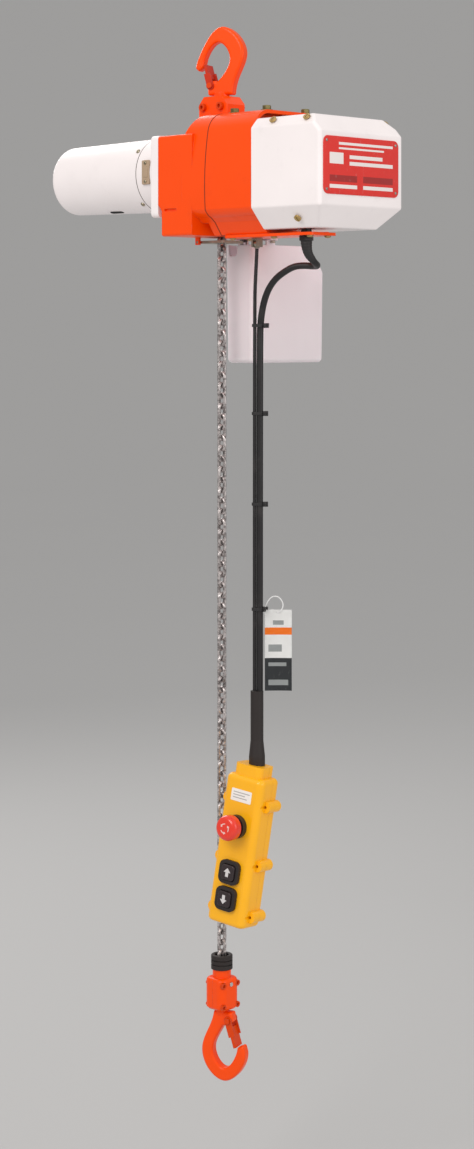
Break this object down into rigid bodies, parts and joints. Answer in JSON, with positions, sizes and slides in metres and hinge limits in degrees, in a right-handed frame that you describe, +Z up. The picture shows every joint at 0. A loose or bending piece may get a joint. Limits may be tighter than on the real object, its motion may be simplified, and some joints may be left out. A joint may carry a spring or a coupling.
{
  "type": "electric chain hoist",
  "caption": "Electric chain hoist with swivel top hook, geared motor body, chain bucket, load chain, swivel bottom hook and hanging push-button pendant.",
  "frame": {"origin": "point of the suspension hook that rests on its support", "axes": "+Z up along the lifting fall of the chain, +X from the motor to the control cover, -Y is the front"},
  "size_m": [0.492, 0.2164, 1.202],
  "materials": {
    "orange_paint": "orange-red gloss paint on castings and forgings",
    "latch_paint": "darker red paint on pressed steel",
    "white_paint": "warm white gloss paint",
    "plated_steel": "zinc-plated steel",
    "dark_steel": "blackened steel",
    "chain_steel": "nickel-plated hardened chain",
    "gear_steel": "ground steel",
    "copper_core": "laminated core with lacquered windings",
    "brass": "yellow brass",
    "magnet": "ferrite",
    "black_plastic": "black moulded plastic",
    "board_green": "circuit board laminate",
    "grey_plastic": "grey moulded plastic",
    "bucket_plastic": "milky translucent plastic",
    "yellow_plastic": "yellow moulded plastic",
    "black_rubber": "black rubber",
    "cable_jacket": "black cable jacket",
    "stop_red": "red gloss plastic",
    "key_black": "dark button plastic"
  },
  "bodies": {
    "suspension": {"suspension_hook": "orange_paint", "top_latch_pin": "dark_steel"},
    "top_latch": {"top_latch": "latch_paint"},
    "hoist": {"hook_yoke": "orange_paint", "yoke_bolts": "dark_steel", "load_chain": "chain_steel", "chain_on_sheave": "chain_steel", "stowed_chain": "chain_steel", "field_magnets": "magnet", "carbon_brushes": "dark_steel", "motor_flange": "white_paint", "motor_tube": "white_paint", "brake_coil": "dark_steel", "bracket_casting": "orange_paint", "gear_case": "orange_paint", "casting_bolts": "plated_steel", "bearings": "gear_steel", "base_plate": "orange_paint", "chain_guide": "black_plastic", "limit_switch": "black_plastic", "control_cover": "white_paint", "cover_screws": "brass", "control_board": "board_green", "contactors": "grey_plastic", "cable_gland": "black_plastic", "wire_anchor": "plated_steel", "chain_container": "bucket_plastic", "container_bolts": "plated_steel"},
    "sheave": {"load_sheave": "gear_steel", "load_gear": "gear_steel"},
    "layshaft": {"big_gear": "gear_steel", "layshaft_pinion": "gear_steel"},
    "rotor": {"rotor_shaft": "gear_steel", "rotor_core": "copper_core", "commutator": "brass", "cooling_fan": "black_plastic", "brake_disc": "gear_steel"},
    "limit_lever": {"limit_lever": "plated_steel"},
    "control_line": {"control_cable": "cable_jacket", "strain_wire": "cable_jacket", "wire_eye": "plated_steel", "pendant_boot": "black_rubber", "pendant_front": "yellow_plastic", "pendant_back": "yellow_plastic", "pendant_screws": "plated_steel", "button_bezels": "black_rubber", "estop_collar": "black_plastic", "switch_block": "grey_plastic"},
    "up_button": {"up_button": "key_black"},
    "down_button": {"down_button": "key_black"},
    "estop_stem": {"estop_stem": "black_plastic"},
    "estop_head": {"estop_head": "stop_red"},
    "hook_block": {"bumper": "black_rubber", "block_left": "orange_paint", "block_right": "orange_paint", "block_bolts": "dark_steel", "chain_pin": "plated_steel"},
    "load_hook": {"load_hook": "orange_paint", "load_latch_pin": "dark_steel"},
    "load_latch": {"load_latch": "latch_paint"}
  },
  "joints": [
    {"name": "top_latch_open", "type": "hinge", "parent": "suspension", "child": "top_latch", "pos_m": [-0.01034, -0.00376, -0.049], "axis": [0.342, -0.9397, 0], "range_deg": [-42, 0], "stiffness_Nm_per_rad": 0.01},
    {"name": "hoist_swivel", "type": "hinge", "parent": "suspension", "child": "hoist", "pos_m": [0, 0, -0.08], "axis": [0, 0, 1], "continuous": true},
    {"name": "sheave_turn", "type": "hinge", "parent": "hoist", "child": "sheave", "pos_m": [0, 0.0184, -0.145], "axis": [1, 0, 0], "continuous": true},
    {"name": "layshaft_turn", "type": "hinge", "parent": "hoist", "child": "layshaft", "pos_m": [0, -0.01744, -0.17009], "axis": [1, 0, 0], "continuous": true},
    {"name": "rotor_turn", "type": "hinge", "parent": "hoist", "child": "rotor", "pos_m": [0, 0.0184, -0.145], "axis": [1, 0, 0], "continuous": true},
    {"name": "hook_travel", "type": "slide", "parent": "hoist", "child": "hook_block", "axis": [0, 0, 1], "range_m": [0, 0.74], "deforming": ["load_chain", "chain_on_sheave"]},
    {"name": "limit_lever_lift", "type": "hinge", "parent": "hoist", "child": "limit_lever", "pos_m": [-0.026, 0, -0.2275], "axis": [0, -1, 0], "range_deg": [0, 3], "stiffness_Nm_per_rad": 0.5},
    {"name": "load_hook_swivel", "type": "hinge", "parent": "hook_block", "child": "load_hook", "pos_m": [0, 0, -1.09], "axis": [0, 0, 1], "continuous": true},
    {"name": "load_latch_open", "type": "hinge", "parent": "load_hook", "child": "load_latch", "pos_m": [0.01034, 0.00376, -1.114], "axis": [0.342, -0.9397, 0], "range_deg": [-42, 0], "stiffness_Nm_per_rad": 0.01},
    {"name": "pendant_swing", "type": "hinge", "parent": "hoist", "child": "control_line", "pos_m": [0.072, -0.016, -0.232], "axis": [1, 0, 0], "range_deg": [-12, 12], "deforming": ["control_cable"]},
    {"name": "up_button_push", "type": "slide", "parent": "control_line", "child": "up_button", "axis": [-0.1731, 0.9816, -0.0803], "range_m": [0, 0.003], "stiffness_N_per_m": 400},
    {"name": "down_button_push", "type": "slide", "parent": "control_line", "child": "down_button", "axis": [-0.1731, 0.9816, -0.0803], "range_m": [0, 0.003], "stiffness_N_per_m": 400},
    {"name": "estop_push", "type": "slide", "parent": "control_line", "child": "estop_stem", "axis": [-0.1731, 0.9816, -0.0803], "range_m": [0, 0.004]},
    {"name": "estop_twist", "type": "hinge", "parent": "estop_stem", "child": "estop_head", "pos_m": [0.06701, -0.04235, -0.87785], "axis": [0.1731, -0.9816, 0.0803], "range_deg": [0, 35]}
  ],
  "couplings": [
    {"joint": "sheave_turn", "follows": "hook_travel", "rad_per_m": -52.36},
    {"joint": "layshaft_turn", "follows": "hook_travel", "rad_per_m": 209.44},
    {"joint": "rotor_turn", "follows": "hook_travel", "rad_per_m": -918.31}
  ]
}
